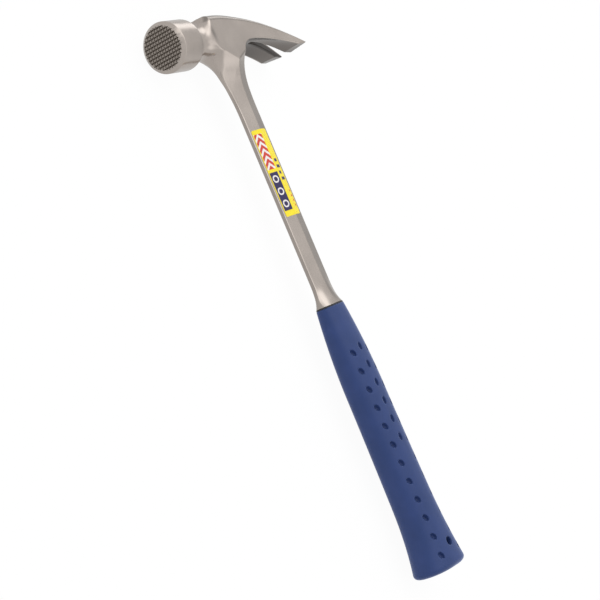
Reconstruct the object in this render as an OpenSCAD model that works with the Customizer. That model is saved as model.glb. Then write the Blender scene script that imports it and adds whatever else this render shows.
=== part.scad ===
// Framing hammer: one-piece forged steel head, shank and tang with a moulded grip.
// The hammer lies on its side. +X runs from the head to the butt, the striking
// face looks to -Y, the claws to +Y, and +Z leaves the labelled side.
// Inside the modules x is measured down the handle from the axis of the poll,
// y from the middle of the shank towards the claws, and z from the mid-plane.

/* [Overall] */
// Length from the crown of the head to the end of the grip
overall_length = 407.7; // [380:0.1:440]
// Crown of the head above the axis of the poll
crown_height = 16; // [14:0.5:18]
// Striking face in front of the middle of the shank
face_reach = 66.5; // [62:0.5:76]
// Claw tips behind the middle of the shank
claw_reach = 77.5; // [70:0.5:88]

/* [Poll] */
// Diameter of the poll
poll_d = 34.4; // [30:0.2:38]
// Length of the poll from the face to its rear edge
poll_length = 24.3; // [18:0.1:26]
// Width of the bevel round the striking face
face_bevel = 3.2; // [1.5:0.1:4]
// Rounding of the rear edge of the poll
poll_rear_r = 2.4; // [1:0.1:5]
// Diameter of the neck behind the poll
neck_d = 21.4; // [19:0.2:24]
// Radius of the flare from the neck into the cheeks
neck_flare_r = 14; // [11:0.5:16]
// Start of the flare in front of the middle of the shank
neck_flare_start = 29.5; // [27:0.5:33]
// Distance from one tooth of the milled face to the next
tooth_pitch = 2.4; // [1.8:0.1:3.2]
// Width of the flat top of a tooth
tooth_flat = 0.7; // [0.3:0.1:1.2]
// Depth of the grooves between the teeth
tooth_depth = 0.9; // [0.5:0.1:1.2]

/* [Claws] */
// Thickness of the cheeks, side to side
cheek_t = 22; // [19:0.5:25]
// Rounding of the top edges of the head
crown_edge_r = 5; // [2:0.5:7]
// Distance behind the middle of the shank at which the claws begin to widen
claw_start = 14.5; // [10:0.5:18]
// Width across both claw tips
claw_tip_w = 38.4; // [34:0.2:44]
// Underside of the claws below the axis of the poll, at their root
claw_root_drop = 5; // [3:0.5:7]
// Drop of the claw tips below the axis of the poll
claw_drop = 16; // [12:0.5:20]
// Thickness of the chisel edge at the tips
claw_edge_t = 0.9; // [0.5:0.1:2]
// Length of the bevel under each tip
claw_bevel = 7.5; // [4:0.5:12]
// Width of the nail slot between the tips
slot_w = 7.8; // [6:0.2:10]
// Width of the nail slot at its root
slot_root_w = 2.6; // [2:0.1:4]
// Length of the nail slot
slot_length = 41; // [30:0.5:46]
// Rise of the underside from the outer edge of the claws to the slot
claw_hollow = 2.6; // [0:0.1:3.5]

/* [Shank] */
// Width of the shank, front to back
shank_w = 21.6; // [18:0.2:25]
// Thickness of the shank at the ridge along the middle of each side
shank_ridge_t = 8; // [6:0.2:10]
// Thickness of the shank at its front and back edges
shank_edge_t = 2.8; // [2:0.1:4]
// Distance below the poll axis at which the neck has narrowed to the shank
neck_end = 64; // [54:1:76]
// Distance below the poll axis of the front corner of the cheeks
cheek_corner = 9; // [7:0.5:11]
// Half of the thickness that the ridge gains from the shank to that corner
neck_ridge_gain = 15.2; // [12:0.2:18]
// Half of the thickness that the edges gain from the shank to that corner
neck_edge_gain = 13.4; // [10:0.2:15]
// Amount by which the front of the neck stands out next to the poll
web_reach = 6; // [3:0.5:9]
// Rounding of the front of the neck next to the poll
nose_r = 12; // [6:0.5:14]
// Distance below the poll axis at which that rounding has run out
nose_end = 30; // [24:1:40]
// Fillet from the back of the shank to the claws
back_fillet = 13; // [9:0.5:15]
// Distance below the poll axis at which the ridged sides begin to swell into the collar
collar_swell = 168; // [150:1:172]
// Distance below the poll axis at which the shank begins to widen into the collar
collar_start = 181; // [174:1:186]
// Width of the collar where it meets the grip
collar_w = 26; // [25:0.5:29]
// Thickness of the collar where it meets the grip
collar_t = 13.4; // [13:0.2:17]

/* [Grip] */
// Top edge of the grip below the axis of the poll
grip_top = 197; // [192:0.5:205]
// Amount by which the top edge of the grip stands out round the collar
grip_lip = 0.5; // [0.3:0.1:1.2]
// Width of the grip at its middle, front to back
grip_w = 33.4; // [31:0.2:38]
// Thickness of the grip below its top swell
grip_t = 22.8; // [21:0.2:27]
// Length of the swell at the top of the grip
grip_swell = 65; // [40:1:75]
// Distance of the middle of the butt behind the middle of the shank
grip_bend = 1.2; // [0:0.1:3]
// Reach of the flared butt in front of its middle
butt_front = 25.5; // [22:0.1:29]
// Reach of the flared butt behind its middle
butt_back = 22.3; // [20:0.1:26]
// Thickness of the flared butt
butt_t = 32; // [28:0.2:36]
// Length of the flare of the butt
butt_flare = 54; // [40:1:70]
// Rounding of the end of the butt
butt_round = 4.5; // [3:0.5:6]
// Tilt of the end of the butt, in degrees
butt_tilt = 1.7; // [0:0.1:4]
// Diameter of the hang hole
hang_hole_d = 6; // [4.5:0.1:7]
// Distance of the hang hole from the end of the butt
hang_hole_inset = 17.9; // [13:0.1:22]
// Distance of the hang hole behind the middle of the shank
hang_hole_back = 2.1; // [0:0.1:4]
// Length of one oval grip pit
pit_length = 5.1; // [4:0.1:7]
// Width of one oval grip pit
pit_width = 3.2; // [2:0.1:4.5]
// Depth of one grip pit
pit_depth = 2.4; // [1:0.1:2.8]
// Slant of the pits in the front and back rows, in degrees
pit_slant = 32; // [0:1:45]
// Distance from one pit of a row to the next
pit_pitch = 13.4; // [10:0.1:16]
// First pit of the front and back rows below the top of the grip
side_row_start = 35; // [25:0.5:45]
// First pit of the middle row below the top of the grip
middle_row_start = 32.3; // [25:0.1:45]
// Length of the middle row of pits
middle_row_length = 70; // [40:1:90]
// Turn of the front and back rows from the middle of the side, in degrees
side_row_turn = 33; // [25:1:42]

/* [Tang and liner] */
// Width of the tang inside the grip
tang_w = 19; // [16:0.2:21]
// Wall of the liner round the tang
liner_wall = 1.6; // [1:0.1:2.2]
// Thickness of the rim of the liner, which shows above the grip
liner_rim = 0.8; // [0.5:0.1:1.5]
// Distance of the end of the tang from the end of the butt
tang_inset = 32; // [28:0.5:60]

/* [Label] */
// Length of the label along the shank
label_length = 63; // [40:1:80]
// Width of the label in front of the ridge
label_front_w = 9.2; // [4:0.2:10]
// Width of the label behind the ridge
label_back_w = 8; // [4:0.2:10]
// Thickness of the label
label_t = 0.15; // [0.1:0.05:0.3]
// Top edge of the label below the end of the neck
label_gap = 3; // [0:0.5:20]

/* [Hidden] */
$fn = 64;

eps = 0.05;
butt_x = overall_length - crown_height;
poll_r = poll_d / 2;
neck_r = neck_d / 2;
cheek_h = cheek_t / 2;
half_w = shank_w / 2;
ridge_h = shank_ridge_t / 2;
edge_h = shank_edge_t / 2;

// The part rests on the widest of the poll, the claw tips and the butt.
rest_h = max(poll_d, claw_tip_w, butt_t) / 2;
head_top = max(crown_height, poll_r);
place = [-(butt_x - head_top) / 2, -(claw_reach - face_reach) / 2, rest_h];

function lerp(a, b, t) = a + (b - a) * t;
function clamp01(t) = min(1, max(0, t));
function smooth(t) = let (u = clamp01(t)) u * u * (3 - 2 * u);
function bezier2(a, b, c, t) = lerp(lerp(a, b, t), lerp(b, c, t), t);
function bezier3(a, b, c, d, t) = lerp(bezier2(a, b, c, t), bezier2(b, c, d, t), t);
function arc(centre, r, from, to, steps) =
    [for (i = [0 : steps]) let (a = lerp(from, to, i / steps)) centre + r * [cos(a), sin(a)]];

// A solid skin over rings of equal length, closed by a fan at each end.
// Seen from the end of the last ring, the rings run clockwise.
function middle(ring) = [for (p = ring) 1] * ring / len(ring);

module loft(rings) {
    n = len(rings[0]);
    m = len(rings);
    points = concat([for (ring = rings) each ring], [middle(rings[0]), middle(rings[m - 1])]);
    sides = [for (k = [0 : m - 2], i = [0 : n - 1])
        let (a = k * n + i, b = k * n + (i + 1) % n)
        each [[a, b, b + n], [a, b + n, a + n]]];
    first = [for (i = [0 : n - 1]) [m * n, (i + 1) % n, i]];
    last = [for (i = [0 : n - 1]) [m * n + 1, m * n - n + i, m * n - n + (i + 1) % n]];
    polyhedron(points, concat(sides, first, last), convexity = 6);
}

// A profile given in y and z, drawn out along x.
module along_x(from, to) {
    translate([from, 0, 0]) rotate([90, 0, 90]) linear_extrude(to - from) children();
}

// A profile given in radius and y, turned round the axis of the poll.
module round_poll_axis() {
    rotate([-90, 0, 0]) rotate_extrude() children();
}

// Poll and neck: a bevelled cylinder with a rounded rear edge and a waist.
poll_rear = -face_reach + poll_length;
waist_fillet = neck_flare_r / 3;
waist_y = poll_rear + (poll_r - poll_rear_r - neck_r) / 2 + waist_fillet / 2;

module poll_blank() {
    round_poll_axis() polygon(concat(
        [[0, -face_reach], [poll_r - face_bevel, -face_reach], [poll_r, -face_reach + face_bevel]],
        arc([poll_r - poll_rear_r, poll_rear - poll_rear_r], poll_rear_r, 0, 60, 6),
        arc([neck_r + waist_fillet, waist_y], waist_fillet, 240, 180, 6),
        [[neck_r, -half_w], [0, -half_w]]));
}

// Milled face: two crossing combs of V-grooves leave rows of teeth.
teeth = 2 * ceil(poll_d / tooth_pitch / 2);
groove_h = (tooth_pitch - tooth_flat) / 2;
groove_floor = -face_reach + tooth_depth;

module groove_comb() {
    over = -face_reach - tooth_depth;
    last = teeth * tooth_pitch / 2;
    polygon(concat(
        [[over, last], [over, -last]],
        [for (i = [0 : teeth - 1])
            let (z = (i + 0.5) * tooth_pitch - last)
            each [[-face_reach, z - groove_h], [groove_floor, z], [-face_reach, z + groove_h]]]));
}

module milled_grooves() {
    length = poll_r + 1;
    along_x(-length, length) groove_comb();
    rotate([0, 90, 0]) along_x(-length, length) groove_comb();
}

// Head: sections across y, from the neck over the cheeks to the claw tips.
// Where the round flare of the neck is narrower than the cheeks, it limits them.
crown_y = -11.5;
crown_pull = [crown_y + 27, claw_reach - 33.5];
crown_sink = 9;
under_start = claw_start + 2;
under_end = claw_reach - claw_bevel;
under_pull = 0.41;
head_base = neck_r - 0.7;
side_bevel = 0.8;

function solve_bezier(y, a, b, c, d, lo = 0, hi = 1, n = 24) =
    n == 0 ? (lo + hi) / 2 :
    let (mid = (lo + hi) / 2)
    bezier3(a, b, c, d, mid) < y ? solve_bezier(y, a, b, c, d, mid, hi, n - 1)
                                 : solve_bezier(y, a, b, c, d, lo, mid, n - 1);
function crown_x(y) = y <= crown_y ? -crown_height :
    let (t = solve_bezier(y, crown_y, crown_pull[0], crown_pull[1], claw_reach))
    bezier3(-crown_height, -crown_height - 0.5, crown_sink - crown_height,
            claw_drop - claw_edge_t, t);
function under_x(y) =
    y < under_start ? lerp(head_base, claw_root_drop, smooth((y - under_start + 8) / 8)) :
    y > under_end ? claw_drop :
    let (s = (y - under_start) / (under_end - under_start),
         p = under_pull,
         t = (sqrt(p * p + (1 - 2 * p) * s) - p) / (1 - 2 * p))
    bezier2(claw_root_drop, claw_root_drop, claw_drop, t);
function side_z(y) =
    lerp(cheek_h, claw_tip_w / 2, pow(clamp01((y - claw_start) / (claw_reach - claw_start)), 1.3));
function hollow(y) = claw_hollow * sin(180 * clamp01((y - under_start) / (claw_reach - under_start)));
function flare_r(y) =
    let (d = y + neck_flare_start)
    d <= 0 ? neck_r - eps :
    d >= neck_flare_r ? claw_reach :
    neck_r + neck_flare_r - sqrt(neck_flare_r * neck_flare_r - d * d);

// The flare dies out under the neck, where the front of the shank takes over.
function flare_limit(y, p) =
    y + neck_flare_start >= neck_flare_r ? flare_r(y) * 2 :
    lerp(flare_r(y), neck_r - eps, smooth((p[0] / norm(p) - 0.45) / 0.5));

function head_ring(y) =
    let (top = crown_x(y),
         bottom = under_x(y),
         side = side_z(y),
         thick = bottom - top,
         r = min(crown_edge_r, thick * 0.32),
         c = min(side_bevel, thick * 0.3),
         rise = min(hollow(y), thick * 0.4),
         near = concat(
             [[bottom - rise, 0], [bottom - 0.8 * rise, 0.5 * side], [bottom, side - c]],
             [for (t = [0 : 0.125 : 0.875]) [lerp(bottom - c, top + r, t), side]],
             [for (a = [0 : 22.5 : 90]) [top + r - r * sin(a), side - r + r * cos(a)]],
             [[top, 0.5 * side - 0.5 * r], [top, 0]]),
         far = [for (i = [len(near) - 2 : -1 : 1]) [near[i][0], -near[i][1]]])
    [for (p = concat(near, far))
        let (k = min(1, flare_limit(y, p) / norm(p))) [k * p[0], y, k * p[1]]];

module head_blank() {
    loft([for (y = concat(
        [for (i = [0 : 14]) lerp(-neck_flare_start - eps, -neck_flare_start + neck_flare_r, i / 14)],
        [for (i = [0 : 4]) lerp(crown_y, under_start, i / 5)],
        [for (i = [0 : 13]) lerp(under_start, under_end, i / 13)],
        [claw_reach])) head_ring(y)]);
}

module nail_slot() {
    root_y = claw_reach - slot_length + slot_root_w / 2;
    over = claw_reach + 1;
    tip_h = lerp(slot_root_w, slot_w, (over - root_y) / (claw_reach - root_y)) / 2;
    along_x(-crown_height, claw_drop + 1) union() {
        polygon([[root_y, -slot_root_w / 2], [over, -tip_h], [over, tip_h], [root_y, slot_root_w / 2]]);
        translate([root_y, 0]) circle(d = slot_root_w);
    }
}

// Shank: sections across x with a ridge along the middle of each side.
// The neck thickens towards the head until the flat cheeks cut it off.
neck_power = 4.5;
shank_top = claw_root_drop - 1;
collar_end = grip_top - liner_rim;
collar_power = 2.2;
collar_oval_power = 2.4;

function neck_gain(x) = pow(max(0, neck_end - x) / (neck_end - cheek_corner), neck_power);
function fillet_out(x, start, r) =
    let (d = min(r, max(0, start + r - x)))
    r - sqrt(r * r - d * d);
function collar_half_w(x) =
    lerp(half_w, collar_w / 2, smooth((x - collar_start) / (collar_end - collar_start)));
function front_y(x) =
    -collar_half_w(x) - web_reach * pow(clamp01((neck_end - x) / (neck_end - cheek_corner)), 2);
function back_y(x) = collar_half_w(x) + fillet_out(x, claw_root_drop, back_fillet);

// Half thickness of the two flat facets of a side.
function facet_z(x, y) =
    let (ridge = ridge_h + neck_ridge_gain * neck_gain(x),
         edge = edge_h + neck_edge_gain * neck_gain(x))
    ridge - (ridge - edge) * abs(y) / half_w;
// Near the poll the front edge is rounded off.
function nose_cut(x, y) =
    let (r = nose_r * smooth((nose_end - x) / (nose_end - cheek_corner)),
         d = y - front_y(x))
    d < r ? r - sqrt(max(0, r * r - (r - d) * (r - d))) : 0;
function collar_z(x, y) =
    collar_t / 2 * pow(max(0, 1 - pow(abs(y) / collar_half_w(x), collar_oval_power)), 1 / collar_oval_power);
function shank_z(x, y) =
    let (swell = pow(clamp01((x - collar_swell) / (collar_end - collar_swell)), collar_power),
         flat = facet_z(x, max(-half_w, min(half_w, y))),
         sharp = x < nose_end ? facet_z(x, y) : lerp(flat, collar_z(x, y), swell))
    max(0.3 * edge_h, min(cheek_h - eps, sharp - nose_cut(x, y)));

function shank_ring(x) =
    let (n = 16,
         upper = [for (i = [0 : n])
             let (side = i < n / 2 ? front_y(x) : back_y(x),
                  y = side * abs(cos(180 * i / n)))
             [y, shank_z(x, y)]],
         lower = [for (i = [n : -1 : 0]) [upper[i][0], -upper[i][1]]])
    [for (p = concat(upper, lower)) [x, p[0], p[1]]];

module shank_blank() {
    xs = concat(
        [for (i = [0 : 15]) lerp(shank_top, neck_end, pow(i / 15, 1.3))],
        [for (i = [0 : 12]) lerp(collar_swell, collar_end, i / 12)]);
    loft([for (x = xs) shank_ring(x)]);
}

function hexagon(half_width, ridge, edge) =
    let (upper = [[-half_width, edge], [0, ridge], [half_width, edge]])
    concat(upper, [for (i = [2 : -1 : 0]) [upper[i][0], -upper[i][1]]]);

tang_end = butt_x - tang_inset;

module tang() {
    along_x(collar_end - 1, tang_end) polygon(hexagon(tang_w / 2, ridge_h, edge_h));
}

module forged_hammer() {
    color([0.67, 0.64, 0.61]) translate(place) {
        difference() {
            poll_blank();
            milled_grooves();
        }
        difference() {
            union() {
                head_blank();
                shank_blank();
            }
            nail_slot();
        }
        tang();
    }
}

// Liner: a hard sleeve on the tang, closed at its end, with an oval rim that
// seats on the end of the collar.
liner_end = tang_end + liner_wall;

module liner_shape() {
    along_x(grip_top - eps, liner_end)
        polygon(hexagon(tang_w / 2 + liner_wall, ridge_h + liner_wall, edge_h + liner_wall));
}

module collar_oval(grow) {
    n = 48;
    polygon([for (i = [0 : n - 1]) let (a = 360 * i / n) [
        (collar_w / 2 + grow) * sign(cos(a)) * pow(abs(cos(a)), 2 / collar_oval_power),
        (collar_t / 2 + grow) * sign(sin(a)) * pow(abs(sin(a)), 2 / collar_oval_power)]]);
}

module grip_liner() {
    color([0.10, 0.11, 0.14]) translate(place) difference() {
        union() {
            along_x(collar_end, grip_top) collar_oval(grip_lip / 2);
            liner_shape();
        }
        tang();
    }
}

// Grip: a moulding of superelliptic sections, swollen at the middle and flared
// at the butt, with rows of pits in both sides and a hang hole near the end.
grip_power = 2.3;
grip_length = butt_x - grip_top;
hang_hole_x = butt_x - hang_hole_inset;

function swell(x) = 1 - pow(1 - clamp01((x - grip_top) / grip_swell), 2);
function flare(x) = clamp01(1 - (butt_x - x) / butt_flare);
function grip_mid(x) = grip_bend * pow((x - grip_top) / grip_length, 2);
function grip_half_w(x) = lerp(collar_w / 2 + grip_lip, grip_w / 2, swell(x));
function grip_front(x) = grip_half_w(x) + (butt_front - grip_w / 2) * pow(flare(x), 2.2);
function grip_back(x) = grip_half_w(x) + (butt_back - grip_w / 2) * pow(flare(x), 1.8);
function grip_half_t(x) =
    lerp(collar_t / 2 + grip_lip, grip_t / 2, swell(x))
    + (butt_t - grip_t) / 2 * lerp(
        pow(clamp01((x - grip_top - grip_swell) / (grip_length - grip_swell)), 1.4),
        pow(flare(x), 2.5), 0.35);
function oval_point(front, back, half_thick, a) = [
    -(cos(a) > 0 ? front : back) * sign(cos(a)) * pow(abs(cos(a)), 2 / grip_power),
    half_thick * sign(sin(a)) * pow(abs(sin(a)), 2 / grip_power)];
// The end of the butt is tilted, highest at the front.
function tilted(x, y) =
    x - tan(butt_tilt) * (butt_back + grip_bend - butt_round - y) * pow(flare(x), 2);
function grip_ring(x, inset = 0) =
    [for (i = [0 : 35])
        let (p = oval_point(grip_front(x) - inset, grip_back(x) - inset, grip_half_t(x) - inset, 10 * i),
             y = grip_mid(x) + p[0])
        [tilted(x, y), y, p[1]]];

module grip_blank() {
    round_start = butt_x - butt_round;
    loft(concat(
        [for (i = [0 : 8]) grip_ring(lerp(grip_top, grip_top + grip_swell, pow(i / 8, 1.5)))],
        [for (i = [1 : 10]) grip_ring(lerp(grip_top + grip_swell, round_start, i / 10))],
        [for (a = [22.5 : 22.5 : 90])
            grip_ring(round_start + butt_round * sin(a), butt_round * (1 - cos(a)))]));
}

// One pit is an oval hollow, square to the surface of the grip. The outer rows slant
// towards the middle row.
side_pits = floor((grip_length - side_row_start - 2 * pit_length) / pit_pitch);
middle_pits = floor(middle_row_length / pit_pitch);

module pit(x, turn) {
    half_width = turn > 0 ? grip_front(x) : grip_back(x);
    p = oval_point(grip_front(x), grip_back(x), grip_half_t(x), 90 - turn);
    slope = [
        sign(p[0]) * pow(abs(p[0]) / half_width, grip_power - 1) / half_width,
        pow(p[1] / grip_half_t(x), grip_power - 1) / grip_half_t(x)];
    translate([x, grip_mid(x) + p[0], p[1]]) rotate([-atan2(slope[0], slope[1]), 0, 0])
        rotate([0, 0, sign(turn) * pit_slant])
            scale([pit_length / 2, pit_width / 2, pit_depth]) sphere(1, $fn = 10);
}

module pits() {
    for (i = [0 : side_pits], turn = [-side_row_turn, side_row_turn])
        pit(grip_top + side_row_start + i * pit_pitch, turn);
    for (i = [0 : middle_pits])
        pit(grip_top + middle_row_start + i * pit_pitch, 0);
}

module grip() {
    color([0.25, 0.31, 0.48]) translate(place) difference() {
        grip_blank();
        liner_shape();
        pits();
        mirror([0, 0, 1]) pits();
        translate([hang_hole_x, hang_hole_back, 0]) cylinder(d = hang_hole_d, h = 2 * butt_t, center = true);
    }
}

// Label: a thin foil over the ridge on one side of the shank.
label_top = neck_end + label_gap;

module label() {
    fall = (ridge_h - edge_h) / half_w;
    front = min(label_front_w, half_w - 1);
    back = min(label_back_w, half_w - 1);
    foil = [[-front, ridge_h - fall * front], [0, ridge_h], [back, ridge_h - fall * back]];
    lift = [0, label_t];
    color([0.95, 0.80, 0.18]) translate(place) along_x(label_top, label_top + label_length)
        polygon([foil[0], foil[1], foil[2], foil[2] + lift, foil[1] + lift, foil[0] + lift]);
}

forged_hammer();
grip_liner();
grip();
label();
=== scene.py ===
import math

import bmesh
import bpy
import numpy as np
from mathutils import Euler, Matrix, Vector


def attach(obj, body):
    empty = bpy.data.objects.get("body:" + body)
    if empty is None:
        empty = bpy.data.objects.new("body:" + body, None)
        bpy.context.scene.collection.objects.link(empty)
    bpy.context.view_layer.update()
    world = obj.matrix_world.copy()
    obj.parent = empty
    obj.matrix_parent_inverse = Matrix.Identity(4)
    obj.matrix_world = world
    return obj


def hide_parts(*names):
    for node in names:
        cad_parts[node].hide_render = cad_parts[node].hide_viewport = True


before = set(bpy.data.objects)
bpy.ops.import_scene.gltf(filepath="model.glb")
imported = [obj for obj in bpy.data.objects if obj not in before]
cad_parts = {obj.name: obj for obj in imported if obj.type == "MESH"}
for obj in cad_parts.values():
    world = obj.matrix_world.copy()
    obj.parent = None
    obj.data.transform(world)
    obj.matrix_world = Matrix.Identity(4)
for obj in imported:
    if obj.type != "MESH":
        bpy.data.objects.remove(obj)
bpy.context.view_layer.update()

# Forging, head and shank: one piece of drop-forged tool steel, ground and satin polished.
# The claws, the cheeks, the ridged neck and the collar run into each other, so they are
# shaped as one field of distances, in millimetres from the crossing of poll and shank axes.
CROWN_H, FACE_Y, CLAW_Y = 16.0, -66.5, 77.5
CHEEK_H, TIP_H = 11.0, 19.2
POLL_R, BUTT_X = 17.2, 391.7
AXIS = np.array([-(BUTT_X - POLL_R) / 2, -(CLAW_Y + FACE_Y) / 2, TIP_H])
MESH_STEP = 0.5


def round_max(a, b, r):
    """Where two solids meet, with their shared outer edge rounded to r."""
    return np.minimum(np.maximum(a, b), -r) + np.hypot(np.maximum(a + r, 0), np.maximum(b + r, 0))


def round_min(a, b, r):
    """Two solids joined, with a fillet of r in the corner between them."""
    return np.maximum(np.minimum(a, b), r) - np.hypot(np.maximum(r - a, 0), np.maximum(r - b, 0))


def ease(t):
    """Soft step from 0 to 1."""
    t = np.clip(t, 0, 1)
    return t * t * (3 - 2 * t)


def share(value, zero, one):
    """How far a value is on its way from zero to one, from 0 to 1."""
    return np.clip((value - zero) / (one - zero), 0, 1)


def ramp(value, zero, one):
    """The same way, with a soft start and end."""
    return ease((value - zero) / (one - zero))


def spot(x, y, place, size):
    """Soft oval spot, 1 at its place."""
    return np.exp(-((x - place[0]) / size[0]) ** 2 - ((y - place[1]) / size[1]) ** 2)


def curve_table(points):
    """Evenly sampled Bezier curve, as a table for interpolation."""
    samples = 400
    t = np.linspace(0, 1, samples)[:, None]
    p = [np.array(q, float) for q in points]
    while len(p) > 1:
        p = [a + (b - a) * t for a, b in zip(p, p[1:])]
    return p[0][:, 0], p[0][:, 1]


def sloped(table, y):
    """Height of a curve and the factor that turns a drop onto it into a distance."""
    h = 0.25
    value = np.interp(y, *table)
    slope = (np.interp(y + h, *table) - np.interp(y - h, *table)) / (2 * h)
    return value, 1 / np.sqrt(1 + slope * slope)


# The claws: their crown and underside are two curves, and they spread and sag to the tips.
CLAW_START, CLAW_DROP, CLAW_ROOT, CLAW_EDGE = 14.5, 16.0, 5.0, 0.9
CLAW_SAG, CLAW_SPREAD = 1.9, 1.3
CROWN_FLAT, CROWN_PULL, TIP_PULL = -11.5, 27.0, 33.5
CROWN_BULGE, CROWN_SINK = 0.5, 9.0
UNDER_START, UNDER_BEND, UNDER_END, UNDER_RUN = 16.5, 38.4, 70.0, 8.0
HOLLOW_DEPTH, HOLLOW_SHARE, HOLLOW_POWER = 2.6, 0.4, 2.2
SLOT_LENGTH, SLOT_R, SLOT_SPREAD, SLOT_PAST, SLOT_EDGE_R = 41.0, 1.3, 2.6, 1.1, 0.5
TIP_EDGE_R, CROWN_EDGE_GAIN, CROWN_EDGE_RUN = 1.0, 4.2, 70.0
crown_curve = curve_table([
    (CROWN_FLAT, -CROWN_H), (CROWN_FLAT + CROWN_PULL, -CROWN_H - CROWN_BULGE),
    (CLAW_Y - TIP_PULL, CROWN_SINK - CROWN_H), (CLAW_Y, CLAW_DROP - CLAW_EDGE)])
under_curve = curve_table([
    (UNDER_START, CLAW_ROOT), (UNDER_BEND, CLAW_ROOT), (UNDER_END, CLAW_DROP)])


def claw_side(y):
    """Half thickness of the head, which grows from the cheeks to the claw tips."""
    return CHEEK_H + (TIP_H - CHEEK_H) * share(y, CLAW_START, CLAW_Y) ** CLAW_SPREAD


def crown_edge_r(y):
    """Radius of the crown's long edges, smallest at the claw tips."""
    return TIP_EDGE_R + CROWN_EDGE_GAIN * share(y, CLAW_Y, CLAW_Y - CROWN_EDGE_RUN)


# The shank's facets: flat below the neck, and risen to the cheeks above it. A narrow chamfer
# lies beside the front of the web, along a line that leaves the middle on its way down.
SHANK_HW, RIDGE_H, EDGE_H = 10.8, 4.0, 1.4
NECK_END, CHEEK_CORNER = 64.0, 9.0
FACET_POWER, FACET_LIMIT, RIDGE_RISE, EDGE_RISE = 4.5, 1.6, 15.2, 13.4
CHAMFER_SLOPE, CHAMFER_REACH, CHAMFER_LINE = 0.06, 11.2, (17.7, 41.0)
CHAMFER_TOP, CHAMFER_LOW = (8.0, 13.0), (42.0, 34.0)


def scoop(x, y, z):
    """The pair of facets on a side, which rise from the flat shank to the cheeks."""
    gain = (np.maximum(NECK_END - x, 0) / (NECK_END - CHEEK_CORNER)) ** FACET_POWER
    gain = np.minimum(gain, FACET_LIMIT)
    ridge = RIDGE_H + RIDGE_RISE * gain
    fall = (ridge - EDGE_H - EDGE_RISE * gain) / SHANK_HW
    past = np.maximum(0, -y - CHAMFER_REACH * share(x, *CHAMFER_LINE))
    chamfer = CHAMFER_SLOPE * past * ramp(x, *CHAMFER_LOW) * ramp(x, *CHAMFER_TOP)
    return (np.abs(z) - (ridge - fall * np.abs(y)) + chamfer) / np.sqrt(1 + fall * fall)


# The neck is oval, flares into the cheeks and has a chin where it meets the web. It is a
# hair smaller than the turned neck of the poll, which covers its end.
NECK_R, NECK_OVAL, NECK_CUT, NECK_GAP = 10.7, 0.84, -34.5, 0.04
FLARE_R, FLARE_Y, CHEEK_FRONT, FACET_EDGE_R = 14.0, -29.5, -11.0, 2.5
CHIN_DROP, CHIN_RUN, CHIN_STEP = 0.7, 9.0, (-13.0, -16.0)
CHIN_R, CHIN_SOFT = 3.0, (-14.0, -17.0)


def head_field(x, y, z):
    """The head without its flat sides: crown, underside, flare of the neck and claw tips."""
    side = claw_side(y)
    sag = CLAW_SAG * ramp(y, CLAW_Y - SLOT_LENGTH, CLAW_Y)
    x = x - sag * np.maximum(0, 1 - np.abs(z) / side)
    crown, crown_cos = sloped(crown_curve, y)
    under, under_cos = sloped(under_curve, y)
    chin = CHIN_DROP * ramp(y, FLARE_Y, FLARE_Y + CHIN_RUN)
    base = NECK_R - CHIN_DROP + ramp(y, *CHIN_STEP) * (chin + CHIN_DROP)
    root = base + (CLAW_ROOT - base) * ramp(y, UNDER_START - UNDER_RUN, UNDER_START)
    under = np.where(y < UNDER_START, root, under)
    bow = np.sin(np.pi * share(y, UNDER_START, CLAW_Y))
    hollow = np.minimum(HOLLOW_DEPTH * bow, HOLLOW_SHARE * (under - crown))
    under = under - hollow * (1 - np.minimum(np.abs(z) / side, 1) ** HOLLOW_POWER)
    rho = np.hypot(x, z / NECK_OVAL)
    flare = FLARE_R - np.hypot(np.minimum(rho - NECK_R - FLARE_R, 0), y - FLARE_Y)
    flare = np.where(y < FLARE_Y, rho - NECK_R + NECK_GAP, flare)
    flare = np.where(y < CHEEK_FRONT, round_max(flare, scoop(x, y, z), FACET_EDGE_R), flare)
    top = (crown - x) * crown_cos
    low = (x - under) * under_cos
    neck = round_max(flare, low, CHIN_R * ramp(y, *CHIN_SOFT))
    return np.maximum(neck, np.maximum(top, y - CLAW_Y)), top, side


# The shank's outline: a web that reaches forward under the poll, with a rounded nose, a
# fillet behind it under the claws, and an oval collar at its end.
WEB_REACH, WEB_POWER = 8.2, 1.5
NOSE_R, NOSE_END, NOSE_EDGE_R, NOSE_THIN = 9.0, 30.0, 0.8, 0.5
SHANK_TOP, CLAW_FILLET, BACK_EDGE_R = 4.0, 13.0, 0.6
COLLAR_START, COLLAR_SWELL, COLLAR_END = 181.0, 168.0, 196.2
COLLAR_HW, COLLAR_HT, COLLAR_POWER, COLLAR_GROWTH = 13.0, 6.7, 2.4, 2.2
OUTLINE_LEAN, COLLAR_LEAN = 0.9, 0.8


def fillet_out(x, start, r):
    """Reach of a round fillet of r beside a wall at start."""
    d = np.clip(start + r - x, 0, r)
    return r - np.sqrt(r * r - d * d)


def oval_reach(across, up, power):
    """1 on an oval with full sides, less inside it and more outside."""
    return (across ** power + up ** power) ** (1 / power)


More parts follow.
